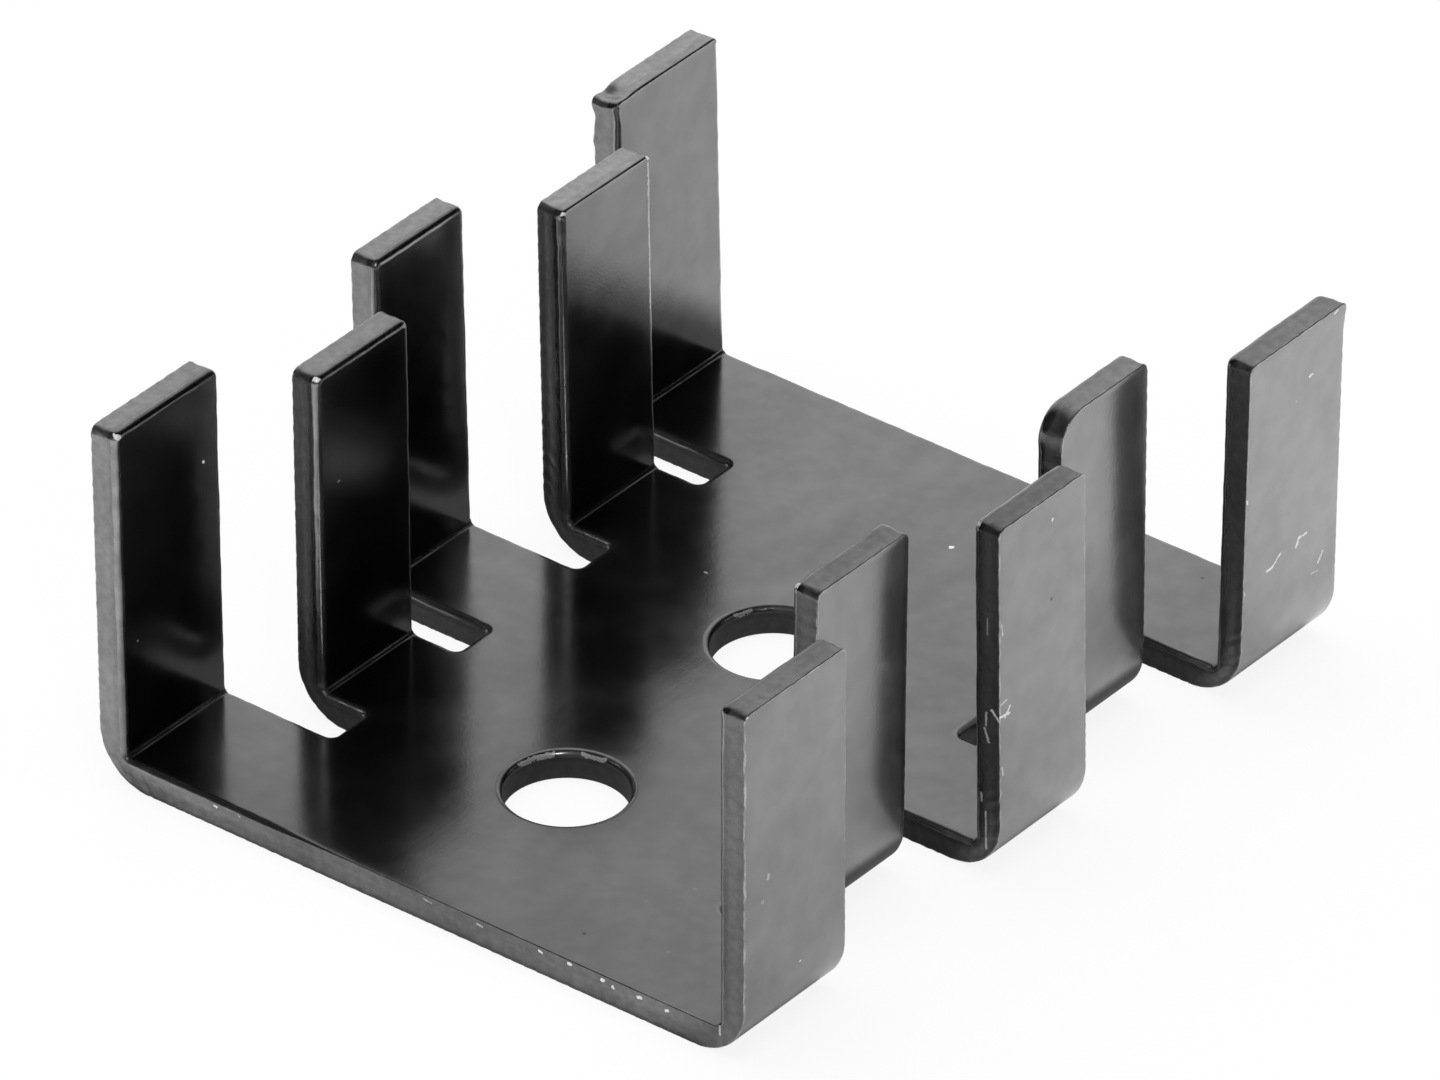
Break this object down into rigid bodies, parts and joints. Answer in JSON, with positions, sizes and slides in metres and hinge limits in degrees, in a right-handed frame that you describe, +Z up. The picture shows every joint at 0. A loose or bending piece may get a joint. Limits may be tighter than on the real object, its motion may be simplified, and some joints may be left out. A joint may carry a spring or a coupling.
{
  "type": "heat sink",
  "caption": "Folded sheet-metal heat sink: a flat web with screw holes on its middle line and staggered upright cooling fins along both long sides, parted by slots.",
  "frame": {"origin": "middle of the underside of the web, halfway along its length and across both outer rows of fins", "axes": "+Z up from the web to the fin tips, +Y along the rows from the end with the nearer hole to the other end, +X across the web"},
  "size_m": [0.0254, 0.0298, 0.0127],
  "materials": {
    "black_anodised": "satin black anodised sheet with worn punched edges"
  },
  "bodies": {
    "root": {"heat_sink": "black_anodised"}
  },
  "joints": []
}
